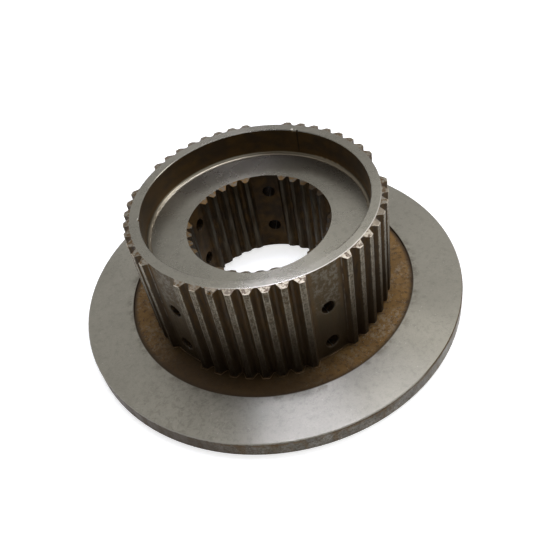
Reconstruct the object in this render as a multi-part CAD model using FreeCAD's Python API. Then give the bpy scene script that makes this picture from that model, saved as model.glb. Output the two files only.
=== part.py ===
import FreeCAD, Part
import math
import os

# Clutch hub: a round flange with a splined sleeve on it, turned and cut from one piece.
# Millimetres, +Z up. The origin is on the axis, in the plane of the flange's back face.
# +X points through the middle of the toothless window that both splines share.

# Flange
flange_radius = 100.0
flange_thickness = 9.2
flange_top_chamfer = 0.4
flange_bottom_chamfer = 0.6

# Turned relief in the flange face, round the foot of the sleeve
relief_width = 11.45
relief_depth = 1.2

# Sleeve: its height above the flange face, and the wall between teeth and counterbore
sleeve_height = 57.3
rim_wall = 4.8
rim_edge_break = 0.35

# Pressure angle of both splines
pressure_angle = 30.0

# Outer spline: groups of teeth, with teeth left out between two groups
outer_module = 2.5
outer_group_counts = (8, 8, 8, 8, 8)
outer_missing_count = 2
outer_tip_height = 1.25
outer_root_depth = 1.875
outer_root_break = 0.45
outer_tip_break = 0.22
outer_end_drop = 0.55

# Scalloped step that the cutter leaves round the foot of the teeth
foot_step_width = 0.9
foot_step_height = 0.45

# Inner spline, widened outwards from its pitch circle by a profile shift
inner_module = 2.0
inner_group_counts = (5, 5, 4, 5, 5)
inner_missing_count = 2
inner_profile_shift = 0.9
inner_root_depth = 2.2
inner_root_break = 0.35
inner_tip_break = 0.2

# Lead at both ends of the inner spline: its angle, and how far it passes the tooth roots below
lead_angle = 30.0
lead_past_roots = 1.2

# Counterbore in the free end of the sleeve
counterbore_depth = 15.2
counterbore_corner_round = 2.0

# Oil holes: two in the middle of each window of the outer spline, through the wall
hole_radius = 3.5
hole_above_flange = 7.3
hole_below_counterbore = 10.9
hole_edge_break = 0.45

# Length by which a cutting tool runs past the face that it opens
overrun = 3.0


def involute(angle):
    """The involute function of an angle in radians."""
    return math.tan(angle) - angle


def at(radius, angle, height=0.0):
    """A point at a radius and an angle in radians."""
    return FreeCAD.Vector(radius * math.cos(angle), radius * math.sin(angle), height)


class Spline:
    """An involute spline whose lobes are the teeth of a shaft or the spaces of a bore."""

    def __init__(self, module, group_counts, missing, low_offset, high_offset, shift):
        self.group_counts = group_counts
        self.missing = missing
        pitches = sum(group_counts) + missing * len(group_counts)
        self.pitch_angle = 2.0 * math.pi / pitches
        self.pitch_radius = module * pitches / 2.0
        self.low_radius = self.pitch_radius + low_offset
        self.high_radius = self.pitch_radius + high_offset
        slant = math.radians(pressure_angle)
        self.base_radius = self.pitch_radius * math.cos(slant)
        self.involute_at_pitch = involute(slant)
        self.lobe_half = self.pitch_angle / 4.0 + shift * math.tan(slant) / self.pitch_radius

    def window_reach(self):
        """The angle from the middle of a window to the first tooth beside it."""
        return (self.missing + 1) / 2.0 * self.pitch_angle

    def tooth_groups(self):
        """For each group, the angle of the window before it and the angles of its teeth."""
        window = 0.0
        listed = []
        for count in self.group_counts:
            first = window + self.window_reach()
            teeth = [first + index * self.pitch_angle for index in range(count)]
            listed.append((window, teeth))
            window = teeth[-1] + self.window_reach()
        return listed

    def narrowing(self, radius):
        """The angle by which half a lobe is narrower at a radius than at the pitch circle."""
        here = math.acos(min(1.0, self.base_radius / radius))
        return involute(here) - self.involute_at_pitch


def circle_edge(radius, angle_from, angle_to):
    """An arc of a circle about the axis."""
    middle = at(radius, (angle_from + angle_to) / 2.0)
    return Part.Arc(at(radius, angle_from), middle, at(radius, angle_to)).toShape()


def lobed_face(spline, lobes, low_cut, high_cut, grow=0.0, curved=True):
    """A flat face with involute lobes, grown outwards by an even offset.

    lobes holds the centre angle and the half angle at the pitch circle of each lobe. Each flank
    ends in a small flat, low_cut wide at the foot of the lobe and high_cut wide at its top. A
    flank that isn't curved is the straight line between its ends.
    """
    low = spline.low_radius + grow
    high = spline.high_radius + grow
    foot = low + low_cut
    top = high - high_cut
    middle = (foot + top) / 2.0

    def half_angle(half, radius):
        return half - spline.narrowing(radius) + grow / spline.base_radius

    edges = []
    for index, (centre, half) in enumerate(lobes):
        crest = half_angle(half, high) - high_cut / high
        reach = half_angle(half, low) + low_cut / low
        for side in (-1.0, 1.0):
            flank = [at(r, centre + side * half_angle(half, r)) for r in (foot, middle, top)]
            if curved:
                edges.append(Part.Arc(*flank).toShape())
            else:
                edges.append(Part.makeLine(flank[0], flank[2]))
            if low_cut > 0.0:
                edges.append(Part.makeLine(at(low, centre + side * reach), flank[0]))
            if high_cut > 0.0:
                edges.append(Part.makeLine(flank[2], at(high, centre + side * crest)))
        edges.append(circle_edge(high, centre - crest, centre + crest))
        next_centre, next_half = lobes[(index + 1) % len(lobes)]
        if index + 1 == len(lobes):
            next_centre += 2.0 * math.pi
        next_reach = half_angle(next_half, low) + low_cut / low
        edges.append(circle_edge(low, centre + reach, next_centre - next_reach))
    return Part.Face(Part.Wire(Part.__sortEdges__(edges)))


def prism(face, bottom, top):
    """A face pushed up from one height to another."""
    face.translate(FreeCAD.Vector(0, 0, bottom))
    return face.extrude(FreeCAD.Vector(0, 0, top - bottom))


def turned(corners):
    """A solid turned about the axis from a closed outline of (radius, height) corners.

    A corner with four numbers is an arc: a point that it passes, then its end.
    """
    points = [FreeCAD.Vector(corner[-2], 0, corner[-1]) for corner in corners]
    edges = []
    for index in range(1, len(corners)):
        if len(corners[index]) == 4:
            passed = FreeCAD.Vector(corners[index][0], 0, corners[index][1])
            edges.append(Part.Arc(points[index - 1], passed, points[index]).toShape())
        else:
            edges.append(Part.makeLine(points[index - 1], points[index]))
    edges.append(Part.makeLine(points[-1], points[0]))
    face = Part.Face(Part.Wire(edges))
    return face.revolve(FreeCAD.Vector(0, 0, 0), FreeCAD.Vector(0, 0, 1), 360)


outer = Spline(
    outer_module, outer_group_counts, outer_missing_count,
    -outer_root_depth, outer_tip_height, 0.0,
)
inner = Spline(
    inner_module, inner_group_counts, inner_missing_count,
    0.0, inner_root_depth, inner_profile_shift,
)

relief_radius = outer.high_radius + relief_width
relief_floor = flange_thickness - relief_depth
sleeve_top = flange_thickness + sleeve_height
sleeve_seat = relief_floor / 2.0
counterbore_radius = outer.low_radius - rim_wall
counterbore_floor = sleeve_top - counterbore_depth
lead_slope = math.tan(math.radians(lead_angle))


def outer_teeth():
    """The lobes of the outer spline: its teeth."""
    return [
        (angle, outer.lobe_half)
        for window, teeth in outer.tooth_groups()
        for angle in teeth
    ]


def inner_spaces():
    """The lobes of the inner spline: its spaces, with each window one wide space."""
    window_half = inner.lobe_half + inner.missing * inner.pitch_angle / 2.0
    spaces = []
    for window, teeth in inner.tooth_groups():
        spaces.append((window, window_half))
        for angle in teeth[:-1]:
            spaces.append((angle + inner.pitch_angle / 2.0, inner.lobe_half))
    return spaces


def flange():
    """The flange with its relief."""
    return turned([
        (0.0, 0.0),
        (flange_radius - flange_bottom_chamfer, 0.0),
        (flange_radius, flange_bottom_chamfer),
        (flange_radius, flange_thickness - flange_top_chamfer),
        (flange_radius - flange_top_chamfer, flange_thickness),
        (relief_radius, flange_thickness),
        (relief_radius, relief_floor),
        (0.0, relief_floor),
    ])


def sleeve():
    """The sleeve with the outer teeth, their sloping free ends and the counterbore."""
    corner = counterbore_corner_round
    arc_inset = corner - corner * math.cos(math.pi / 4.0)
    end_slope = outer_end_drop / (outer.high_radius - outer.low_radius)
    past_teeth = outer.high_radius + overrun
    envelope = turned([
        (0.0, sleeve_seat),
        (past_teeth, sleeve_seat),
        (past_teeth, sleeve_top - end_slope * (past_teeth - outer.low_radius)),
        (outer.low_radius, sleeve_top),
        (counterbore_radius + rim_edge_break, sleeve_top),
        (counterbore_radius, sleeve_top - rim_edge_break),
        (counterbore_radius, counterbore_floor + corner),
        (
            counterbore_radius - arc_inset, counterbore_floor + arc_inset,
            counterbore_radius - corner, counterbore_floor,
        ),
        (0.0, counterbore_floor),
    ])
    face = lobed_face(outer, outer_teeth(), outer_root_break, outer_tip_break)
    return prism(face, sleeve_seat, sleeve_top).common(envelope)


def foot_step():
    """The low scalloped step that follows the teeth at the bottom of the relief."""
    face = lobed_face(outer, outer_teeth(), 0.0, 0.0, foot_step_width, curved=False)
    return prism(face, sleeve_seat, relief_floor + foot_step_height)


def splined_bore():
    """The room inside the bore: the spline's spaces and the tapered lead at both ends."""
    face = lobed_face(inner, inner_spaces(), inner_tip_break, inner_root_break)
    room = prism(face, -overrun, counterbore_floor + overrun)
    mouth = inner.high_radius + lead_past_roots / lead_slope
    lower_lead = turned([
        (0.0, -overrun),
        (mouth + overrun / lead_slope, -overrun),
        (0.0, mouth * lead_slope),
    ])
    upper_lead = turned([
        (0.0, counterbore_floor + overrun),
        (inner.high_radius + overrun / lead_slope, counterbore_floor + overrun),
        (0.0, counterbore_floor - inner.high_radius * lead_slope),
    ])
    return room.fuse([lower_lead, upper_lead])


def oil_hole(angle, height):
    """A radial hole with a broken outer edge, from the bore out past the window."""
    surface = outer.low_radius
    start = inner.low_radius / 2.0
    outwards = at(1.0, angle)
    drill_length = surface + overrun - start
    drill = Part.makeCylinder(hole_radius, drill_length, at(start, angle, height), outwards)
    flare_start = at(surface - hole_edge_break, angle, height)
    flare_length = hole_edge_break + overrun
    flare = Part.makeCone(
        hole_radius, hole_radius + flare_length, flare_length, flare_start, outwards
    )
    return drill.fuse(flare)


def oil_holes():
    """Two holes, one above the other, in the middle of each window of the outer spline."""
    heights = (
        flange_thickness + hole_above_flange,
        counterbore_floor - hole_below_counterbore,
    )
    return [
        oil_hole(window, height)
        for window, teeth in outer.tooth_groups()
        for height in heights
    ]


def clutch_hub():
    """The whole hub as one solid."""
    body = flange().fuse([sleeve(), foot_step()])
    body = body.cut([splined_bore()] + oil_holes())
    return body.removeSplitter().Solids[0]


os.makedirs("parts", exist_ok=True)
hub = clutch_hub()
hub.exportStep("parts/clutch_hub.step")
print("clutch_hub valid:", hub.isValid(), "faces:", len(hub.Faces), "volume:", round(hub.Volume))
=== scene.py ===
"""Clutch hub: worn machined steel with rust, on a pale floor in soft studio light."""

import math

import bmesh
import bpy
from mathutils import Euler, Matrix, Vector


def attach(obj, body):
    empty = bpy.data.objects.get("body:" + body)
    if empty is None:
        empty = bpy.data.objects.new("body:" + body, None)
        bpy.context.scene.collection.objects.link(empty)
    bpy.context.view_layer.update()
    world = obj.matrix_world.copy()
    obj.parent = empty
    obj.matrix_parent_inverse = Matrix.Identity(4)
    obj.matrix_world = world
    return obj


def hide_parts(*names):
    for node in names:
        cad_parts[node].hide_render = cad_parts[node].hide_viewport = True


bl_info = {
    "name": "Clutch hub",
    "version": (1, 0, 0),
    "blender": (4, 5, 0),
    "location": "View3D > Sidebar > Clutch hub",
    "description": "Dresses the clutch hub in worn steel and rust and sets it in a studio",
    "category": "Object",
}

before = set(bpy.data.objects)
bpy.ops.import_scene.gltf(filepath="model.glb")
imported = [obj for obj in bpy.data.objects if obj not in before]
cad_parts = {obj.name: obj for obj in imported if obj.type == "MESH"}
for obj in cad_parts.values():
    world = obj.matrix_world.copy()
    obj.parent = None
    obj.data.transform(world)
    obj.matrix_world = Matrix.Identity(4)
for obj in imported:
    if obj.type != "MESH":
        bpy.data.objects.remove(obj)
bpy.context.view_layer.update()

HUB_NODE = "clutch_hub"
MM = 0.001

# Radii and heights that part one machined surface from the next, in metres
FLANGE_FACE = 9.2 * MM
RELIEF_RADIUS = 75.2 * MM
RELIEF_FLOOR = 8.0 * MM
FOOT_STEP = 8.45 * MM
TIP_RADIUS = 63.75 * MM
ROOT_RADIUS = 60.625 * MM
SLEEVE_TOP = 66.5 * MM
COUNTERBORE_FLOOR = 51.3 * MM
BORE_ROOT = 36.2 * MM
BORE_TIP = 34.0 * MM

# Pitches round the outer spline, and windows without teeth round it
OUTER_PITCHES = 50
WINDOWS = 5

# How the hub's mesh is cleaned, and how sharp the edges are that wear round or shade smooth
WELD_DISTANCE = 2e-6
FLAT_ANGLE = math.radians(0.3)
FOOT_EDGE_ANGLE = math.radians(60.0)
WORN_EDGE_ANGLE = math.radians(25.0)
SMOOTH_ANGLE = math.radians(32.0)

# Kinds of new faces on the hub
ROUNDED = 1
NICKED = 2

# Colours that only one small area has
PALE_SPECK = (0.62, 0.6, 0.55)
# Pale colour of the painted highlight along the rim's outer edge
PAINTED_HIGHLIGHT_STEEL = (0.62, 0.58, 0.53)
RELIEF_MOTTLE = (0.3, 0.245, 0.17)
# Near-black of the sleeve's painted shadow on the relief
RELIEF_SHADOW = (0.036, 0.02, 0.007)
# Pale colour of the foot step's edge, partly wear and partly painted highlight
FOOT_EDGE_WEAR_AND_HIGHLIGHT = (0.19, 0.118, 0.062)
WINDOW_BROWN = (0.1, 0.074, 0.032)
TOOTH_END_STAIN = (0.085, 0.054, 0.034)
FILLET_DULL = (0.12, 0.1, 0.07)
# Bright colour of the fillet's painted highlight
FILLET_PAINTED_HIGHLIGHT = (0.3, 0.27, 0.21)


class HubSizes(bpy.types.PropertyGroup):
    """Sizes of the wear that the dressed hub gets"""

    edge_round: bpy.props.FloatProperty(
        name="Edge round",
        description="Width of the worn round on each sharp outer edge",
        default=0.1 * MM, min=0.01 * MM, max=0.5 * MM, unit="LENGTH", precision=5,
    )
    foot_round: bpy.props.FloatProperty(
        name="Foot round",
        description="Width of the rubbed round on the step at the foot of the teeth",
        default=0.2 * MM, min=0.01 * MM, max=0.4 * MM, unit="LENGTH", precision=5,
    )
    nick_depth: bpy.props.FloatProperty(
        name="Nick depth",
        description="Depth of the deepest nick in an edge",
        default=0.7 * MM, min=0.0, max=1.5 * MM, unit="LENGTH", precision=5,
    )


class HubColours(bpy.types.PropertyGroup):
    """Colours of the steel and the rust"""

    steel: bpy.props.FloatVectorProperty(
        name="Ground steel",
        description="Colour of the faces that are ground or turned bright",
        subtype="COLOR", size=3, min=0.0, max=1.0, default=(0.276, 0.261, 0.221),
    )
    dull_steel: bpy.props.FloatVectorProperty(
        name="Dull steel",
        description="Colour of steel that has gone dark with oil and age",
        subtype="COLOR", size=3, min=0.0, max=1.0, default=(0.115, 0.096, 0.066),
    )
    rust: bpy.props.FloatVectorProperty(
        name="Rust",
        description="Colour of thin dry rust",
        subtype="COLOR", size=3, min=0.0, max=1.0, default=(0.195, 0.107, 0.03),
    )
    worn_edge: bpy.props.FloatVectorProperty(
        name="Worn edge",
        description="Colour of tooth tips that are worn and stained",
        subtype="COLOR", size=3, min=0.0, max=1.0, default=(0.19, 0.163, 0.12),
    )
    dark_rust: bpy.props.FloatVectorProperty(
        name="Dark rust",
        description="Colour of old rust soaked with oil",
        subtype="COLOR", size=3, min=0.0, max=1.0, default=(0.045, 0.028, 0.013),
    )
    dust: bpy.props.FloatVectorProperty(
        name="Dust",
        description="Colour of the pale specks that sit on rust and worn edges",
        subtype="COLOR", size=3, min=0.0, max=1.0, default=(0.42, 0.375, 0.29),
    )


class StudioSettings(bpy.types.PropertyGroup):
    """Camera, floor and light"""

    camera_place: bpy.props.FloatVectorProperty(
        name="Camera place",
        description="Where the camera stands",
        subtype="TRANSLATION", size=3, unit="LENGTH",
        default=(-0.018058, -0.251924, 0.261801), precision=5,
    )
    camera_turn: bpy.props.FloatVectorProperty(
        name="Camera turn",
        description="How the camera is turned",
        subtype="EULER", size=3, unit="ROTATION",
        default=(math.radians(44.2486), math.radians(7.7101), math.radians(-13.0421)),
    )
    lens: bpy.props.FloatProperty(
        name="Lens",
        description="Focal length of the camera in millimetres",
        default=42.608, min=10.0, max=200.0,
    )
    softbox_glow: bpy.props.FloatProperty(
        name="Softbox glow",
        description="Brightness of the face of the main softbox, where 1 is white",
        default=16.0, min=0.0,
    )
    softbox_tint: bpy.props.FloatVectorProperty(
        name="Softbox tint",
        description="Tint of the cool panels of the softbox",
        subtype="COLOR", size=3, min=0.0, max=1.5, default=(0.97, 1.0, 1.2),
    )
    side_glow: bpy.props.FloatProperty(
        name="Side glow",
        description="Brightness of the face of the softbox at the right, where 1 is white",
        default=4.2, min=0.0,
    )
    room_light: bpy.props.FloatProperty(
        name="Room light",
        description="Brightness of the far side of the room, where 1 is white",
        default=0.3, min=0.0,
    )
    room_dark: bpy.props.FloatProperty(
        name="Room dark",
        description="Brightness of the near side of the room, where 1 is white",
        default=0.08, min=0.0,
    )


class NodeBench:
    """Adds the nodes of one material and links them."""

    def __init__(self, name):
        self.material = bpy.data.materials.new(name)
        self.material.use_nodes = True
        self.tree = self.material.node_tree
        self.tree.nodes.clear()
        self.place = self.add("ShaderNodeTexCoord").outputs["Object"]
        self.split = self.add("ShaderNodeSeparateXYZ")
        self.link(self.place, self.split.inputs[0])
        self.height = self.split.outputs["Z"]
        flat = self.add("ShaderNodeCombineXYZ")
        self.link(self.split.outputs["X"], flat.inputs["X"])
        self.link(self.split.outputs["Y"], flat.inputs["Y"])
        self.outwards = flat.outputs[0]
        length = self.add("ShaderNodeVectorMath", operation="LENGTH")
        self.link(self.outwards, length.inputs[0])
        self.radius = length.outputs["Value"]

    def add(self, kind, **settings):
        """A new node with some of its settings."""
        node = self.tree.nodes.new(kind)
        for key, value in settings.items():
            setattr(node, key, value)
        return node

    def link(self, source, target):
        """Links a socket, or sets the target to a plain number or colour."""
        if isinstance(source, bpy.types.NodeSocket):
            self.tree.links.new(source, target)
        else:
            target.default_value = source

    def math(self, operation, first, second=0.0, third=0.0):
        """The result of a sum, a product or another step with numbers."""
        node = self.add("ShaderNodeMath", operation=operation)
        for value, socket in zip((first, second, third), node.inputs):
            self.link(value, socket)
        return node.outputs[0]

    def times(self, first, second):
        """The product of two values."""
        return self.math("MULTIPLY", first, second)

    def fade(self, value, low, high, to_low=0.0, to_high=1.0):
        """A smooth change from one number to another while a value goes from low to high."""
        node = self.add("ShaderNodeMapRange", interpolation_type="SMOOTHSTEP")
        for item, socket in zip((value, low, high, to_low, to_high), node.inputs):
            self.link(item, socket)
        return node.outputs[0]

    def band(self, value, low, high, soft):
        """One inside a range of a value and nought outside, with soft ends."""
        rise = self.fade(value, low - soft, low + soft)
        fall = self.fade(value, high - soft, high + soft, 1.0, 0.0)
        return self.times(rise, fall)

    def blend(self, factor, first, second):
        """A colour that goes from the first to the second as the factor goes from 0 to 1."""
        node = self.add("ShaderNodeMix", data_type="RGBA")
        self.link(factor, node.inputs[0])
        for colour, socket in ((first, node.inputs[6]), (second, node.inputs[7])):
            if not isinstance(colour, bpy.types.NodeSocket):
                colour = (*colour, 1.0)
            self.link(colour, socket)
        return node.outputs[2]

    def stretched(self, scale):
        """The place of a point, scaled along each axis, which stretches a noise."""
        node = self.add("ShaderNodeMapping", vector_type="POINT")
        self.link(self.place, node.inputs["Vector"])
        self.link(scale, node.inputs["Scale"])
        return node.outputs[0]

    def noise(self, grain, detail=4.0, roughness=0.55, vector=None, distortion=0.0):
        """Cloudy noise whose grains are about that many metres wide."""
        node = self.add("ShaderNodeTexNoise")
        self.link(self.place if vector is None else vector, node.inputs["Vector"])
        self.link(1.0 / grain, node.inputs["Scale"])
        self.link(detail, node.inputs["Detail"])
        self.link(roughness, node.inputs["Roughness"])
        self.link(distortion, node.inputs["Distortion"])
        return node.outputs[0]

    def lay(self, value, pitch):
        """Fine even lines along which one value stays the same, as a cutting tool leaves."""
        line = self.add("ShaderNodeCombineXYZ")
        self.link(self.math("DIVIDE", value, pitch), line.inputs["X"])
        node = self.add("ShaderNodeTexNoise")
        self.link(line.outputs[0], node.inputs["Vector"])
        self.link(1.0, node.inputs["Scale"])
        self.link(3.0, node.inputs["Detail"])
        self.link(0.7, node.inputs["Roughness"])
        return node.outputs[0]

    def turned(self):
        """The angle round the axis, in radians."""
        return self.math("ARCTAN2", self.split.outputs["Y"], self.split.outputs["X"])

    def away_from(self, angle):
        """How far round the axis a point is from an angle in degrees, in radians."""
        return self.math("ABSOLUTE", self.math("SUBTRACT", self.turned(), math.radians(angle)))

    def round_angle(self, angle, full, none, strength=1.0):
        """A strength that is full near an angle and fades to nought away from it, in degrees."""
        off = self.away_from(angle)
        return self.fade(off, math.radians(full), math.radians(none), strength, 0.0)

    def tooth_side(self):
        """How far a point is from the middle of the nearest outer tooth, round the axis."""
        step = 2.0 * math.pi / OUTER_PITCHES
        part = self.math("FRACT", self.math("DIVIDE", self.turned(), step))
        off = self.math("ABSOLUTE", self.math("SUBTRACT", part, 0.5))
        return self.times(self.times(off, step), self.radius)

    def window_side(self):
        """How far a point is from the middle of the nearest outer window, in radians."""
        step = 2.0 * math.pi / WINDOWS
        part = self.math("FRACT", self.math("MULTIPLY_ADD", self.turned(), 1.0 / step, 0.5))
        off = self.math("ABSOLUTE", self.math("SUBTRACT", part, 0.5))
        return self.times(off, step)

    def specks(self, grain, share):
        """Small separate specks that cover about that share of the surface."""
        fine = self.noise(grain, 2.0, 0.6)
        return self.fade(fine, 0.72 - 0.3 * share, 0.78 - 0.3 * share)

    def bump(self, height, depth, strength):
        """A normal that follows small heights of the surface."""
        node = self.add("ShaderNodeBump")
        self.link(height, node.inputs["Height"])
        node.inputs["Distance"].default_value = depth
        node.inputs["Strength"].default_value = strength
        return node.outputs[0]

    def surface(
        self, colour, metallic, roughness, normal, anisotropic=0.0, tangent=None, gloss=0.5
    ):
        """Ends the material with one shader and returns it."""
        shader = self.add("ShaderNodeBsdfPrincipled")
        shader.inputs["Specular IOR Level"].default_value = gloss
        if not isinstance(colour, bpy.types.NodeSocket):
            colour = (*colour, 1.0)
        self.link(colour, shader.inputs["Base Color"])
        self.link(metallic, shader.inputs["Metallic"])
        self.link(roughness, shader.inputs["Roughness"])
        shader.inputs["Anisotropic"].default_value = anisotropic
        self.link(normal, shader.inputs["Normal"])
        if tangent is not None:
            self.link(tangent, shader.inputs["Tangent"])
        output = self.add("ShaderNodeOutputMaterial")
        self.link(shader.outputs[0], output.inputs["Surface"])
        return self.material


def colours():
    """The hub's colours by name."""
    chosen = bpy.context.scene.hub_colours
    return {
        name: tuple(getattr(chosen, name))
        for name in ("steel", "dull_steel", "worn_edge", "rust", "dark_rust", "dust")
    }


def scaled(colour, factor):
    """A colour made lighter or darker."""
    return tuple(channel * factor for channel in colour)


def bright_face(bench, roughness_low, roughness_high, anisotropic, marks, painted_highlight=0.0):
    """Bright flat steel with fine rings, clouds, smudges and specks."""
    tint = colours()
    clouds = bench.noise(0.018, 5.0, 0.55)
    mottle = bench.noise(0.0028, 6.0, 0.7)
    fine = bench.noise(0.0009, 3.0, 0.6)
    rings = bench.lay(bench.radius, 0.00035)
    colour = bench.blend(bench.fade(clouds, 0.35, 0.65), scaled(tint["steel"], 0.92), tint["steel"])
    colour = bench.blend(
        bench.fade(mottle, 0.48, 0.7, 0.0, 0.3), colour, scaled(tint["steel"], 0.5)
    )
    colour = bench.blend(bench.fade(fine, 0.5, 0.7, 0.0, 0.18), colour, scaled(tint["steel"], 0.5))
    colour = bench.blend(bench.fade(rings, 0.3, 0.7, 0.0, 0.1), colour, scaled(tint["steel"], 0.7))
    smudge = bench.times(
        bench.band(bench.noise(0.005, 3.0, 0.6, distortion=1.5), 0.485, 0.5, 0.016),
        bench.fade(bench.noise(0.02, 2.0, 0.5), 0.45, 0.6, 0.1, 0.42),
    )
    colour = bench.blend(smudge, colour, scaled(tint["steel"], 0.45))
    pale = bench.times(bench.specks(0.0008, 0.1), 0.35)
    colour = bench.blend(pale, colour, PALE_SPECK)
    # Painted highlight, for the finishes that pass one in
    colour = bench.blend(painted_highlight, colour, PAINTED_HIGHLIGHT_STEEL)
    colour = bench.blend(marks, colour, scaled(tint["dark_rust"], 0.8))
    roughness = bench.fade(clouds, 0.3, 0.7, roughness_low, roughness_high)
    normal = bench.bump(bench.times(rings, 0.35), 0.00003, 0.5)
    return bench.surface(colour, 1.0, roughness, normal, anisotropic, bench.outwards)


def flange_face_finish():
    """Ground face of the flange: a dark line and stains along the relief, and painted shade in
    blotches on the near left.
    """
    bench = NodeBench("flange_face")
    line = bench.fade(bench.radius, RELIEF_RADIUS + 0.1 * MM, RELIEF_RADIUS + 0.5 * MM, 0.75, 0.0)
    near = bench.fade(bench.radius, RELIEF_RADIUS + 0.5 * MM, RELIEF_RADIUS + 5.0 * MM, 0.4, 0.0)
    near = bench.times(near, bench.fade(bench.noise(0.004, 5.0, 0.65), 0.45, 0.65))
    marks = bench.math("MAXIMUM", line, near)
    # Painted shade: darker blotches on the near left, round -128 degrees.
    painted_shade_blotches = bench.times(
        bench.round_angle(-128.0, 8.0, 26.0, 0.2),
        bench.fade(bench.noise(0.003, 6.0, 0.7, distortion=1.0), 0.47, 0.6),
    )
    return bright_face(bench, 0.28, 0.3, 0.9, bench.math("MAXIMUM", marks, painted_shade_blotches))


def rim_finish():
    """Turned top of the rim and floor of the counterbore.

    The rim has a scored line near its inner edge and a painted highlight along its outer edge at
    the front. Painted shade darkens the floor at the back near the wall, and thinly the rim.
    """
    bench = NodeBench("rim_and_floor")
    scored = bench.times(
        bench.band(bench.radius, 56.1 * MM, 56.45 * MM, 0.08 * MM),
        bench.band(bench.turned(), math.radians(-62.0), math.radians(-43.0), math.radians(0.5)),
    )
    broken = bench.fade(bench.noise(0.0012, 3.0, 0.7), 0.36, 0.46)
    scored = bench.times(bench.times(scored, broken), 0.75)
    # Painted shade on the floor at the back near the wall, and thinly on the rim
    painted_shade = bench.round_angle(75.0, 45.0, 100.0, 0.5)
    reach = bench.math("ADD", bench.round_angle(85.0, 20.0, 60.0, 5.0 * MM), bench.radius)
    shade_distance = bench.math("MULTIPLY_ADD", bench.noise(0.01, 4.0, 0.6), 6.0 * MM, reach)
    painted_shade = bench.times(painted_shade, bench.fade(shade_distance, 43.0 * MM, 51.0 * MM, 0.15, 1.0))
    thin = bench.fade(bench.height, COUNTERBORE_FLOOR + 1.0 * MM, SLEEVE_TOP - 2.0 * MM, 1.0, 0.3)
    painted_shade = bench.times(painted_shade, thin)
    marks = bench.math("MAXIMUM", scored, painted_shade)
    # Painted highlight along the outer edge of the rim at the front
    rubbed_and_highlight = bench.times(
        bench.band(bench.radius, 60.1 * MM, 61.0 * MM, 0.15 * MM),
        bench.round_angle(-68.0, 25.0, 60.0, 0.85),
    )
    return bright_face(bench, 0.265, 0.285, 0.9, marks, rubbed_and_highlight)


def relief_finish():
    """Turned relief round the sleeve: rust with pale mottling, the sleeve's shadow painted almost
    black on the near side, and darker near the walls.
    """
    tint = colours()
    bench = NodeBench("rusty_relief")
    clouds = bench.noise(0.012, 5.0, 0.6)
    grains = bench.noise(0.0018, 6.0, 0.7)
    colour = bench.blend(bench.fade(clouds, 0.35, 0.65), scaled(tint["rust"], 0.75), tint["rust"])
    colour = bench.blend(bench.fade(grains, 0.48, 0.64, 0.0, 0.75), colour, tint["dark_rust"])
    bare = bench.times(
        bench.fade(bench.noise(0.0022, 8.0, 0.8), 0.46, 0.6),
        bench.fade(bench.noise(0.016, 3.0, 0.5), 0.42, 0.56),
    )
    colour = bench.blend(bench.times(bare, 0.52), colour, RELIEF_MOTTLE)
    specks = bench.specks(0.0009, 0.2)
    colour = bench.blend(bench.times(specks, 0.55), colour, tint["dust"])
    # Painted shadow of the sleeve: the near side, round -117 degrees, is painted almost black.
    off = bench.math("MULTIPLY_ADD", clouds, 0.3, bench.away_from(-117.0))
    oil = bench.fade(off, math.radians(24.0), math.radians(78.0), 0.9, 0.1)
    colour = bench.blend(oil, colour, RELIEF_SHADOW)
    # Darker near the step at the outer edge and near the foot of the teeth.
    edge = bench.fade(bench.radius, RELIEF_RADIUS - 3.0 * MM, RELIEF_RADIUS - 0.2 * MM, 0.0, 0.85)
    foot = bench.fade(bench.radius, ROOT_RADIUS + 0.4 * MM, ROOT_RADIUS + 2.2 * MM, 0.7, 0.0)
    darker_near_walls = bench.math("MAXIMUM", edge, foot)
    colour = bench.blend(darker_near_walls, colour, scaled(tint["dark_rust"], 0.7))
    normal = bench.bump(bench.math("ADD", grains, specks), 0.00012, 0.7)
    metallic = bench.math("MULTIPLY_ADD", bare, 0.3, 0.05)
    return bench.surface(colour, metallic, 0.62, normal, gloss=0.15)


def foot_edge_finish():
    """Top edge of the scalloped step round the foot of the teeth: brown, with pale patches that are
    partly wear and partly a painted highlight.
    """
    tint = colours()
    bench = NodeBench("foot_edge")
    # Pale patches: partly wear, partly painted highlight along the step's edge.
    worn = bench.fade(bench.noise(0.006, 5.0, 0.7), 0.44, 0.6)
    colour = bench.blend(worn, scaled(tint["rust"], 0.35), FOOT_EDGE_WEAR_AND_HIGHLIGHT)
    return bench.surface(colour, 0.2, 0.5, bench.bump(worn, 0.00005, 0.5), gloss=0.3)


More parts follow.
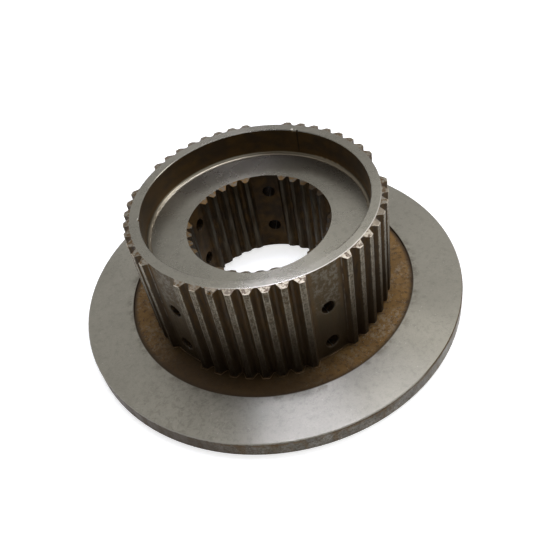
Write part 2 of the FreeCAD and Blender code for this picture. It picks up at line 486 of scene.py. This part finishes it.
def flange_side_finish():
    """Turned outside of the flange: grey steel with rust freckles and specks.

    It has painted shade on one side. Its top edge has a painted highlight, with a rusty line below
    it, and is stained in one place.
    """
    tint = colours()
    bench = NodeBench("flange_side")
    clouds = bench.noise(0.009, 5.0, 0.6)
    lines = bench.lay(bench.height, 0.0003)
    streaks = bench.noise(0.004, 4.0, 0.6, bench.stretched((1.0, 1.0, 0.25)))
    grains = bench.noise(0.0013, 5.0, 0.7)
    colour = bench.blend(
        bench.fade(clouds, 0.35, 0.7), scaled(tint["steel"], 0.36), scaled(tint["steel"], 0.66)
    )
    colour = bench.blend(
        bench.fade(grains, 0.46, 0.58, 0.0, 0.75), colour, scaled(tint["dark_rust"], 1.2)
    )
    specks = bench.times(bench.specks(0.0009, 0.25), 0.5)
    colour = bench.blend(specks, colour, tint["dust"])
    colour = bench.blend(
        bench.fade(streaks, 0.5, 0.7, 0.0, 0.45), colour, scaled(tint["rust"], 0.6)
    )
    rusty = bench.times(
        bench.band(bench.height, FLANGE_FACE - 2.3 * MM, FLANGE_FACE - 0.9 * MM, 0.5 * MM),
        bench.fade(bench.noise(0.005, 6.0, 0.7), 0.44, 0.56),
    )
    colour = bench.blend(bench.times(rusty, 0.8), colour, scaled(tint["rust"], 0.6))
    # Painted shade: the left side of the flange is painted dark.
    dark = bench.round_angle(-150.0, 18.0, 58.0, 0.82)
    colour = bench.blend(dark, colour, scaled(tint["dark_rust"], 1.2))
    grey = bench.round_angle(-30.0, 15.0, 35.0, 0.5)
    colour = bench.blend(grey, colour, scaled(tint["steel"], 0.8))
    stained = bench.round_angle(-38.0, 14.0, 26.0)
    edge = bench.blend(stained, scaled(tint["steel"], 1.3), scaled(tint["rust"], 0.35))
    level = bench.math("MULTIPLY_ADD", bench.noise(0.002, 3.0, 0.6), 0.5 * MM, bench.height)
    under = bench.times(
        bench.band(level, FLANGE_FACE - 1.05 * MM, FLANGE_FACE - 0.2 * MM, 0.1 * MM),
        bench.round_angle(-52.0, 30.0, 45.0, 0.85),
    )
    colour = bench.blend(under, colour, scaled(tint["rust"], 0.3))
    # Painted highlight along the top edge.
    painted_highlight_edge = bench.fade(level, FLANGE_FACE - 0.2 * MM, FLANGE_FACE - 0.05 * MM, 0.0, 0.85)
    colour = bench.blend(painted_highlight_edge, colour, edge)
    normal = bench.bump(bench.math("ADD", lines, grains), 0.00008, 0.5)
    metallic = bench.fade(bench.math("MAXIMUM", rusty, dark), 0.0, 1.0, 0.85, 0.2)
    roughness = bench.fade(streaks, 0.3, 0.7, 0.42, 0.6)
    return bench.surface(colour, metallic, roughness, normal, gloss=0.1)


def outer_spline_finish():
    """Outer teeth and windows: speckled worn tips with pale edges that are partly painted
    highlight, brown gaps, and painted shade towards the foot.
    """
    tint = colours()
    bench = NodeBench("outer_spline")
    side = bench.tooth_side()
    streaks = bench.noise(0.0018, 5.0, 0.65, bench.stretched((1.0, 1.0, 0.18)))
    clouds = bench.noise(0.011, 5.0, 0.6)
    grains = bench.noise(0.0011, 5.0, 0.7)
    brown = bench.blend(
        bench.fade(streaks, 0.35, 0.65), scaled(tint["dark_rust"], 1.1), scaled(tint["rust"], 0.5)
    )
    brown = bench.blend(
        bench.fade(clouds, 0.5, 0.7, 0.0, 0.25), brown, scaled(tint["dull_steel"], 0.7)
    )
    patch = bench.times(
        bench.fade(bench.noise(0.0022, 7.0, 0.75), 0.46, 0.56),
        bench.fade(bench.noise(0.007, 3.0, 0.5), 0.34, 0.44),
    )
    patch = bench.times(patch, bench.fade(bench.height, 36.0 * MM, 44.0 * MM))
    open_wall = bench.fade(bench.window_side(), 0.095, 0.125, 1.0, 0.0)
    patch = bench.times(patch, open_wall)
    plain = bench.fade(bench.window_side(), 0.128, 0.136, 0.55, 0.0)
    brown = bench.blend(plain, brown, WINDOW_BROWN)
    stain = bench.times(
        bench.band(bench.window_side(), 0.105, 0.136, 0.008),
        bench.fade(bench.noise(0.012, 4.0, 0.6), 0.4, 0.6),
    )
    stain = bench.times(stain, bench.fade(bench.height, 20.0 * MM, 40.0 * MM, 0.0, 0.6))
    brown = bench.blend(stain, brown, scaled(tint["rust"], 0.8))
    brown = bench.blend(bench.times(patch, 0.7), brown, scaled(tint["worn_edge"], 1.25))
    broken_edge = bench.fade(bench.radius, 60.4 * MM, 60.56 * MM, 0.6, 0.0)
    brown = bench.blend(broken_edge, brown, tint["worn_edge"])
    # Painted highlight: a pale glint line along the edge of each window.
    rubbed_and_highlight = bench.times(
        bench.band(bench.window_side(), 0.143, 0.1475, 0.001),
        bench.fade(bench.noise(0.006, 4.0, 0.6), 0.42, 0.58),
    )
    brown = bench.blend(bench.times(rubbed_and_highlight, 0.7), brown, scaled(tint["dust"], 0.6))
    worn = bench.blend(
        bench.fade(grains, 0.42, 0.58), tint["worn_edge"], scaled(tint["dull_steel"], 0.65)
    )
    stain = bench.fade(bench.noise(0.0028, 4.0, 0.65), 0.5, 0.64, 0.0, 0.75)
    worn = bench.blend(stain, worn, scaled(tint["dark_rust"], 1.4))
    worn = bench.blend(bench.times(bench.specks(0.0007, 0.2), 0.6), worn, tint["dust"])
    # Pale bands along the crest edges: wear, and painted highlight.
    rubbed_and_highlight = bench.times(
        bench.band(side, 1.0 * MM, 1.35 * MM, 0.08 * MM),
        bench.fade(bench.noise(0.003, 5.0, 0.7), 0.38, 0.58, 0.1, 0.75),
    )
    worn = bench.blend(rubbed_and_highlight, worn, scaled(tint["dust"], 0.9))
    tips = bench.fade(bench.radius, 63.1 * MM, 63.5 * MM)
    colour = bench.blend(tips, brown, worn)
    # Painted shade: the teeth grow darker towards the foot.
    foot = bench.fade(bench.height, 18.0 * MM, 62.0 * MM, 0.85, 0.0)
    colour = bench.blend(foot, colour, scaled(tint["dark_rust"], 0.6))
    metallic = bench.fade(tips, 0.0, 1.0, 0.15, 0.7)
    normal = bench.bump(bench.math("ADD", streaks, grains), 0.0001, 0.6)
    roughness = bench.fade(streaks, 0.3, 0.7, 0.42, 0.58)
    return bench.surface(colour, metallic, roughness, normal, gloss=0.22)


def tooth_end_finish():
    """Sloping free ends of the outer teeth: stained steel, painted pale as a highlight on the front
    side and along the outer edge.
    """
    tint = colours()
    bench = NodeBench("tooth_ends")
    grains = bench.noise(0.0016, 4.0, 0.65)
    clouds = bench.noise(0.007, 3.0, 0.6)
    # Painted highlight: the ends are painted pale on the front side, round -76 degrees.
    off = bench.math("MULTIPLY_ADD", clouds, 0.5, bench.away_from(-76.0))
    worn = bench.fade(off, math.radians(30.0), math.radians(72.0), 1.0, 0.0)
    stained = bench.blend(
        bench.fade(grains, 0.42, 0.58), scaled(tint["rust"], 0.4), scaled(tint["dust"], 0.42)
    )
    bare = bench.blend(bench.fade(grains, 0.46, 0.55), tint["dust"], TOOTH_END_STAIN)
    colour = bench.blend(worn, stained, bare)
    specks = bench.times(bench.specks(0.0006, 0.3), bench.fade(worn, 0.0, 1.0, 0.3, 0.7))
    colour = bench.blend(specks, colour, scaled(tint["dust"], 1.6))
    # Painted highlight along the outer edge of the ends.
    rubbed_and_highlight = bench.fade(bench.radius, 63.1 * MM, 63.6 * MM, 0.0, 0.5)
    colour = bench.blend(rubbed_and_highlight, colour, scaled(tint["dust"], 1.2))
    normal = bench.bump(grains, 0.00012, 0.7)
    return bench.surface(colour, 0.6, 0.42, normal)


def counterbore_wall_finish():
    """Turned wall of the counterbore: dark brown, with fine rings, a seam, a redder foot and
    painted shade on the left.
    """
    tint = colours()
    bench = NodeBench("counterbore_wall")
    lines = bench.lay(bench.height, 0.0004)
    clouds = bench.noise(0.01, 5.0, 0.6, bench.stretched((1.0, 1.0, 1.6)))
    colour = bench.blend(
        bench.fade(clouds, 0.35, 0.7), scaled(tint["dark_rust"], 1.3), scaled(tint["rust"], 0.55)
    )
    # Painted shade: the wall is painted darker on the left.
    off = bench.away_from(0.0)
    shaded = bench.fade(off, math.radians(100.0), math.radians(150.0), 0.0, 0.5)
    colour = bench.blend(shaded, colour, scaled(tint["dark_rust"], 0.8))
    colour = bench.blend(
        bench.fade(lines, 0.45, 0.7, 0.0, 0.3), colour, scaled(tint["dull_steel"], 0.6)
    )
    seam = bench.band(bench.turned(), math.radians(53.8), math.radians(54.6), math.radians(0.25))
    colour = bench.blend(bench.times(seam, 0.7), colour, scaled(tint["dark_rust"], 0.2))
    above = bench.math("SUBTRACT", bench.height, COUNTERBORE_FLOOR)
    foot = bench.fade(above, 2.0 * MM, 6.0 * MM, 0.4, 0.0)
    colour = bench.blend(foot, colour, scaled(tint["rust"], 0.7))
    normal = bench.bump(lines, 0.00005, 0.5)
    return bench.surface(colour, 0.5, 0.5, normal, gloss=0.3)


def fillet_finish():
    """Smooth round in the corner of the counterbore: steel with a painted highlight at the back
    left, brown where it meets the wall.
    """
    tint = colours()
    bench = NodeBench("fillet")
    clouds = bench.noise(0.008, 2.0, 0.5)
    level = bench.math("MULTIPLY_ADD", clouds, 0.6 * MM, bench.height)
    brown = bench.fade(level, COUNTERBORE_FLOOR + 1.5 * MM, COUNTERBORE_FLOOR + 2.4 * MM)
    # Painted highlight: the fillet is painted bright round 115 degrees.
    fillet_highlight = bench.round_angle(115.0, 20.0, 45.0)
    bare = bench.blend(fillet_highlight, FILLET_DULL, FILLET_PAINTED_HIGHLIGHT)
    colour = bench.blend(brown, bare, scaled(tint["rust"], 0.6))
    normal = bench.bump(bench.noise(0.003, 2.0, 0.5), 0.00002, 0.2)
    return bench.surface(colour, 0.9, 0.32, normal)


def bore_finish():
    """Splined bore: dull steel tooth tips, brown flanks and rust in the windows."""
    tint = colours()
    bench = NodeBench("splined_bore")
    streaks = bench.noise(0.0016, 5.0, 0.65, bench.stretched((1.0, 1.0, 0.12)))
    clouds = bench.noise(0.009, 5.0, 0.6)
    roots = bench.fade(bench.radius, BORE_TIP + 0.3 * MM, BORE_ROOT - 0.6 * MM)
    tips = bench.blend(
        bench.fade(streaks, 0.35, 0.65),
        scaled(tint["dull_steel"], 0.4),
        scaled(tint["dark_rust"], 0.6),
    )
    brown = bench.blend(
        bench.fade(clouds, 0.35, 0.68), scaled(tint["dark_rust"], 0.75), scaled(tint["rust"], 0.42)
    )
    colour = bench.blend(roots, tips, brown)
    metallic = bench.fade(roots, 0.0, 1.0, 0.85, 0.2)
    normal = bench.bump(streaks, 0.00006, 0.5)
    roughness = bench.fade(streaks, 0.3, 0.7, 0.45, 0.6)
    return bench.surface(colour, metallic, roughness, normal, gloss=0.06)


def lead_finish():
    """Tapered lead at the ends of the bore: tan stain on steel, with painted shadow on one side."""
    tint = colours()
    bench = NodeBench("bore_lead")
    grains = bench.noise(0.0015, 5.0, 0.65)
    colour = bench.blend(
        bench.fade(grains, 0.4, 0.58), scaled(tint["dust"], 0.22), scaled(tint["rust"], 0.55)
    )
    # Painted shadow: the lead is painted dark on the right side, round -10 degrees.
    lead_shadow = bench.round_angle(-10.0, 35.0, 60.0, 0.85)
    colour = bench.blend(lead_shadow, colour, scaled(tint["dark_rust"], 0.5))
    normal = bench.bump(grains, 0.00008, 0.6)
    return bench.surface(colour, 0.4, 0.5, normal, gloss=0.15)


def hole_finish():
    """Oil holes: dark, drilled, with rust."""
    tint = colours()
    bench = NodeBench("oil_holes")
    grains = bench.noise(0.0015, 4.0, 0.6)
    colour = bench.blend(
        bench.fade(grains, 0.4, 0.65), scaled(tint["dark_rust"], 0.6), scaled(tint["rust"], 0.5)
    )
    normal = bench.bump(grains, 0.0001, 0.6)
    return bench.surface(colour, 0.4, 0.55, normal)


def back_face_finish():
    """Back of the flange: turned steel, duller than the front."""
    tint = colours()
    bench = NodeBench("back_face")
    rings = bench.lay(bench.radius, 0.0006)
    clouds = bench.noise(0.015, 5.0, 0.6)
    colour = bench.blend(
        bench.fade(clouds, 0.35, 0.7), scaled(tint["steel"], 0.75), scaled(tint["dull_steel"], 1.5)
    )
    spots = bench.fade(bench.noise(0.006, 6.0, 0.7), 0.58, 0.72, 0.0, 0.6)
    colour = bench.blend(spots, colour, scaled(tint["rust"], 0.8))
    normal = bench.bump(rings, 0.00005, 0.5)
    return bench.surface(colour, 0.9, 0.42, normal, 0.6, bench.outwards)


FINISHES = {
    "flange_face": flange_face_finish,
    "rim": rim_finish,
    "relief": relief_finish,
    "flange_side": flange_side_finish,
    "foot_edge": foot_edge_finish,
    "outer_spline": outer_spline_finish,
    "tooth_ends": tooth_end_finish,
    "counterbore_wall": counterbore_wall_finish,
    "fillet": fillet_finish,
    "bore": bore_finish,
    "lead": lead_finish,
    "holes": hole_finish,
    "back_face": back_face_finish,
}


def surface_of(face):
    """Which machined surface a face belongs to, by its radius, its height and how level it is."""
    middle = face.calc_center_median()
    radius = math.hypot(middle.x, middle.y)
    height = middle.z
    level = abs(face.normal.z)
    if radius > ROOT_RADIUS and height > SLEEVE_TOP - 0.7 * MM:
        return "tooth_ends"
    if height > SLEEVE_TOP - 0.5 * MM:
        return "rim"
    if level > 0.999:
        if height < 1.0 * MM:
            return "back_face"
        if height < FLANGE_FACE - 0.3 * MM:
            return "relief"
        return "flange_face" if height < FLANGE_FACE + 1.0 * MM else "rim"
    if radius > RELIEF_RADIUS + 10.0 * MM:
        return "flange_side"
    if radius > TIP_RADIUS + 2.0 * MM:
        return "relief"
    if radius > ROOT_RADIUS - 0.3 * MM:
        if height < RELIEF_FLOOR + 0.6 * MM:
            return "foot_edge" if level > 0.3 else "relief"
        return "outer_spline"
    if height > COUNTERBORE_FLOOR + 2.05 * MM:
        return "counterbore_wall"
    if height > COUNTERBORE_FLOOR - 0.2 * MM and radius > BORE_ROOT + 5.0 * MM:
        return "fillet"
    if radius < BORE_ROOT + 3.0 * MM and level > 0.4:
        return "lead"
    if radius < BORE_ROOT + 0.3 * MM:
        return "bore"
    return "holes"


def polar(radius, angle, height):
    """A place given by its radius, its angle in degrees and its height."""
    turn = math.radians(angle)
    return Vector((radius * math.cos(turn), radius * math.sin(turn), height))


# Cuts of the grid round a nick, in shares of its width
NICK_CUTS = (-1.0, -0.6, -0.25, 0.0, 0.25, 0.6, 1.0)

# How far from a nick faces are cut, in widths, and how near to a corner a cut goes through it
NICK_REACH = 3.0
CUT_DISTANCE = 1e-7

# Nicks: radius, angle and height of the middle, width, and the push outwards and up in shares
# of the nick depth, in millimetres and degrees
NICKS = (
    (56.1, 56.8, 66.4, 1.3, 0.7, -0.5),
    (56.0, 54.2, 66.3, 0.9, 1.0, -1.3),
    (56.0, 175.9, 66.4, 0.9, 0.8, -0.7),
    (56.1, -60.5, 66.4, 0.5, 0.3, -0.6),
    (56.1, -50.6, 66.4, 0.6, 0.4, -0.6),
    (63.5, -118.8, 65.8, 1.7, -0.7, -1.2),
)


def nick(mesh, place, width, push):
    """Cuts a small grid into the surface round a place, pushes it in and lists its faces."""
    radial = Vector((place.x, place.y, 0.0)).normalized()
    across = Vector((-radial.y, radial.x, 0.0))
    for step in NICK_CUTS:
        for normal in (across, Vector((0.0, 0.0, 1.0)), radial):
            near = [v for v in mesh.verts if (v.co - place).length < NICK_REACH * width]
            faces = dict.fromkeys(face for vertex in near for face in vertex.link_faces)
            parts = dict.fromkeys(
                part for face in faces for part in (face, *face.edges, *face.verts)
            )
            bmesh.ops.bisect_plane(
                mesh, geom=list(parts), dist=CUT_DISTANCE,
                plane_co=place + normal * step * width, plane_no=normal,
            )
    moved = set()
    for vertex in mesh.verts:
        distance = (vertex.co - place).length / width
        if distance < 1.0:
            vertex.co += push * (1.0 - distance * distance) ** 2
            moved.update(vertex.link_faces)
    return moved


def worn_hub_mesh():
    """A merged copy of the CAD mesh with rounded edges and nicks."""
    sizes = bpy.context.scene.hub_sizes
    mesh = bmesh.new()
    mesh.from_mesh(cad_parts[HUB_NODE].data)
    bmesh.ops.remove_doubles(mesh, verts=mesh.verts, dist=WELD_DISTANCE)
    bmesh.ops.dissolve_limit(
        mesh, angle_limit=FLAT_ANGLE, verts=mesh.verts, edges=mesh.edges,
        use_dissolve_boundaries=False,
    )
    kind = mesh.faces.layers.int.new("kind")
    foot = [
        edge for edge in mesh.edges
        if edge.is_convex and edge.calc_face_angle(0.0) > FOOT_EDGE_ANGLE
        and all(abs(v.co.z - FOOT_STEP) < 0.01 * MM for v in edge.verts)
    ]
    rounds = bmesh.ops.bevel(
        mesh, geom=foot, offset=sizes.foot_round, offset_type="OFFSET", segments=2,
        profile=0.5, affect="EDGES", clamp_overlap=True, material=-1,
    )["faces"]
    sharp = [
        edge for edge in mesh.edges
        if edge.is_convex and edge.calc_face_angle(0.0) > WORN_EDGE_ANGLE
        and not all(abs(v.co.z - FOOT_STEP) < 0.5 * MM for v in edge.verts)
    ]
    rounds += bmesh.ops.bevel(
        mesh, geom=sharp, offset=sizes.edge_round, offset_type="OFFSET", segments=2,
        profile=0.5, affect="EDGES", clamp_overlap=True, material=-1,
    )["faces"]
    for face in rounds:
        if face.is_valid:
            face[kind] = ROUNDED
    for vertex in mesh.verts:
        vertex.co.z = min(vertex.co.z, SLEEVE_TOP)
    for radius, angle, height, width, out, up in NICKS:
        place = polar(radius * MM, angle, height * MM)
        push = polar(out, angle, up) * sizes.nick_depth
        for face in nick(mesh, place, width * MM, push):
            face[kind] = NICKED
    for face in mesh.faces:
        face.smooth = True
    for edge in mesh.edges:
        kinds = {face[kind] for face in edge.link_faces}
        edge.smooth = len(kinds) == 1 and edge.calc_face_angle(0.0) < SMOOTH_ANGLE
    mesh.faces.layers.int.remove(kind)
    return mesh


class OBJECT_OT_worn_clutch_hub(bpy.types.Operator):
    """Dress the hub: a copy with worn edges and nicks, in steel and rust"""

    bl_idname = "object.worn_clutch_hub"
    bl_label = "Worn clutch hub"
    bl_options = {"REGISTER", "UNDO"}

    def execute(self, context):
        mesh = worn_hub_mesh()
        names = list(FINISHES)
        for face in mesh.faces:
            face.material_index = names.index(surface_of(face))
        data = bpy.data.meshes.new("worn_hub")
        mesh.to_mesh(data)
        mesh.free()
        for name in names:
            data.materials.append(FINISHES[name]())
        hub = bpy.data.objects.new("worn_hub", data)
        context.scene.collection.objects.link(hub)
        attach(hub, "root")
        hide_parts(HUB_NODE)
        return {"FINISHED"}


# How strongly the floor glows to the camera, where 1 is white, and the grey that takes shadows
FLOOR_GLOW = 0.72
FLOOR_GREY = 0.6

# Radius and height of the corners of the floor and the backdrop that it curves up into
BACKDROP_OUTLINE = ((0.0, 0.0), (2.2, 0.0), (2.6, 0.08), (2.9, 0.3), (3.0, 0.7), (3.0, 2.0))
BACKDROP_STEPS = 48


def floor_material():
    """Pale floor that shows white and keeps the hub's soft shadow."""
    material = bpy.data.materials.new("studio_floor")
    material.use_nodes = True
    tree = material.node_tree
    tree.nodes.clear()
    paths = tree.nodes.new("ShaderNodeLightPath")
    seen = paths.outputs["Is Camera Ray"]
    for kind in ("Is Glossy Ray", "Is Transmission Ray"):
        either = tree.nodes.new("ShaderNodeMath")
        either.operation = "MAXIMUM"
        tree.links.new(seen, either.inputs[0])
        tree.links.new(paths.outputs[kind], either.inputs[1])
        seen = either.outputs[0]
    glow = tree.nodes.new("ShaderNodeEmission")
    glow.inputs["Strength"].default_value = FLOOR_GLOW
    dark = tree.nodes.new("ShaderNodeEmission")
    dark.inputs["Strength"].default_value = 0.0
    lit = tree.nodes.new("ShaderNodeBsdfDiffuse")
    lit.inputs["Color"].default_value = (FLOOR_GREY, FLOOR_GREY, FLOOR_GREY, 1.0)
    choose = tree.nodes.new("ShaderNodeMixShader")
    tree.links.new(seen, choose.inputs[0])
    tree.links.new(dark.outputs[0], choose.inputs[1])
    tree.links.new(glow.outputs[0], choose.inputs[2])
    both = tree.nodes.new("ShaderNodeAddShader")
    tree.links.new(lit.outputs[0], both.inputs[0])
    tree.links.new(choose.outputs[0], both.inputs[1])
    output = tree.nodes.new("ShaderNodeOutputMaterial")
    tree.links.new(both.outputs[0], output.inputs["Surface"])
    return material


# Panels of the softbox above and behind the hub: where its middle is, its size, its share of
# the glow, and whether it is of the cool kind
SOFTBOX_PANELS = (
    ((0.0335, 0.23, 1.2), (0.417, 0.14), 1.2, True),
    ((0.052, 0.095, 1.2), (0.38, 0.13), 0.49, True),
    ((0.471, 0.23, 1.2), (0.458, 0.14), 0.57, True),
    ((0.396, 0.095, 1.2), (0.308, 0.13), 0.2, False),
    ((0.216, -0.085, 1.2), (0.668, 0.23), 0.3, False),
    ((0.721, 0.475, 1.2), (0.958, 0.35), 0.15, False),
    ((-0.2875, 0.23, 1.2), (0.225, 0.14), 0.2, False),
    ((-0.509, 0.475, 1.2), (0.782, 0.35), 0.08, False),
    ((-0.329, 1.075, 1.2), (1.142, 0.85), 0.035, False),
    ((0.721, 1.075, 1.2), (0.958, 0.85), 0.054, False),
)


# Softbox at the right, which faces the hub
SIDE_PLACE = (1.1, -0.05, 0.75)
SIDE_SIZE = (0.5, 0.5)

# The way to the bright side of the room, and how far the light fades round to the dark side
ROOM_BRIGHT_SIDE = (0.3, 0.85, 0.42)
ROOM_FADE = (-0.35, 0.55)

CAMERA_SENSOR = 36.0
CAMERA_CLIP = (0.01, 50.0)
WHITE = (1.0, 1.0, 1.0)


def softbox(name, place, size, glow, tint):
    """A rectangular lamp that faces straight down and glows evenly."""
    data = bpy.data.lights.new(name, "AREA")
    data.shape = "RECTANGLE"
    data.size, data.size_y = size
    data.energy = glow * math.pi * size[0] * size[1]
    data.color = tint
    lamp = bpy.data.objects.new(name, data)
    lamp.location = place
    bpy.context.scene.collection.objects.link(lamp)
    return lamp


def studio_floor_mesh():
    """A round floor that curves up into a backdrop all round."""
    mesh = bmesh.new()
    points = [mesh.verts.new((radius, 0.0, height)) for radius, height in BACKDROP_OUTLINE]
    edges = [mesh.edges.new(pair) for pair in zip(points, points[1:])]
    bmesh.ops.spin(
        mesh, geom=points + edges, cent=(0.0, 0.0, 0.0), axis=(0.0, 0.0, 1.0),
        angle=2.0 * math.pi, steps=BACKDROP_STEPS, use_merge=True,
    )
    bmesh.ops.remove_doubles(mesh, verts=mesh.verts, dist=1e-5)
    for face in mesh.faces:
        face.smooth = True
        if face.normal.dot(Vector((0.0, 0.0, 1.0)) - face.calc_center_median().normalized()) < 0.0:
            face.normal_flip()
    data = bpy.data.meshes.new("studio_floor")
    mesh.to_mesh(data)
    mesh.free()
    return data


def room_world(bright, dark):
    """An even room that is darker on the camera's side of the hub."""
    world = bpy.data.worlds.new("studio_room")
    world.use_nodes = True
    tree = world.node_tree
    way = tree.nodes.new("ShaderNodeTexCoord").outputs["Generated"]
    facing = tree.nodes.new("ShaderNodeVectorMath")
    facing.operation = "DOT_PRODUCT"
    facing.inputs[1].default_value = ROOM_BRIGHT_SIDE
    tree.links.new(way, facing.inputs[0])
    fade = tree.nodes.new("ShaderNodeMapRange")
    fade.interpolation_type = "SMOOTHSTEP"
    for value, socket in zip((*ROOM_FADE, dark, bright), fade.inputs[1:5]):
        socket.default_value = value
    tree.links.new(facing.outputs["Value"], fade.inputs[0])
    room = tree.nodes["Background"]
    room.inputs["Color"].default_value = (*WHITE, 1.0)
    tree.links.new(fade.outputs[0], room.inputs["Strength"])
    return world


class SCENE_OT_hub_studio(bpy.types.Operator):
    """Set the stage: camera, pale floor and soft studio light"""

    bl_idname = "scene.hub_studio"
    bl_label = "Hub studio"
    bl_options = {"REGISTER", "UNDO"}

    def execute(self, context):
        settings = context.scene.studio_settings
        data = bpy.data.cameras.new("studio_camera")
        data.lens = settings.lens
        data.sensor_width = CAMERA_SENSOR
        data.clip_start, data.clip_end = CAMERA_CLIP
        camera = bpy.data.objects.new("studio_camera", data)
        camera.location = settings.camera_place
        camera.rotation_euler = Euler(settings.camera_turn, "XYZ")
        context.scene.collection.objects.link(camera)
        context.scene.camera = camera

        floor_data = studio_floor_mesh()
        floor_data.materials.append(floor_material())
        floor = bpy.data.objects.new("studio_floor", floor_data)
        context.scene.collection.objects.link(floor)

        for index, (place, size, share, cool) in enumerate(SOFTBOX_PANELS):
            tint = settings.softbox_tint if cool else WHITE
            softbox(f"softbox_{index}", place, size, share * settings.softbox_glow, tint)
        side = softbox("side_light", SIDE_PLACE, SIDE_SIZE, settings.side_glow, WHITE)
        side.rotation_mode = "QUATERNION"
        side.rotation_quaternion = side.location.to_track_quat("Z", "Y")
        context.scene.world = room_world(settings.room_light, settings.room_dark)
        context.scene.view_settings.view_transform = "Standard"
        return {"FINISHED"}


class VIEW3D_PT_clutch_hub(bpy.types.Panel):
    """Sizes, colours and steps of the clutch hub"""

    bl_label = "Clutch hub"
    bl_idname = "VIEW3D_PT_clutch_hub"
    bl_space_type = "VIEW_3D"
    bl_region_type = "UI"
    bl_category = "Clutch hub"

    def draw(self, context):
        layout = self.layout
        for group in ("hub_sizes", "hub_colours", "studio_settings"):
            settings = getattr(context.scene, group)
            box = layout.box()
            for name in settings.__annotations__:
                box.prop(settings, name)
        for step in STEPS:
            layout.operator(step)


GROUPS = {
    "hub_sizes": HubSizes,
    "hub_colours": HubColours,
    "studio_settings": StudioSettings,
}
CLASSES = (
    *GROUPS.values(),
    OBJECT_OT_worn_clutch_hub,
    SCENE_OT_hub_studio,
    VIEW3D_PT_clutch_hub,
)
STEPS = ("object.worn_clutch_hub", "scene.hub_studio")


def register():
    for item in CLASSES:
        bpy.utils.register_class(item)
    for name, group in GROUPS.items():
        setattr(bpy.types.Scene, name, bpy.props.PointerProperty(type=group))


def unregister():
    for name in GROUPS:
        delattr(bpy.types.Scene, name)
    for item in reversed(CLASSES):
        bpy.utils.unregister_class(item)


def main():
    register()
    bpy.ops.object.worn_clutch_hub()
    bpy.ops.scene.hub_studio()


if __name__ == "__main__":
    main()
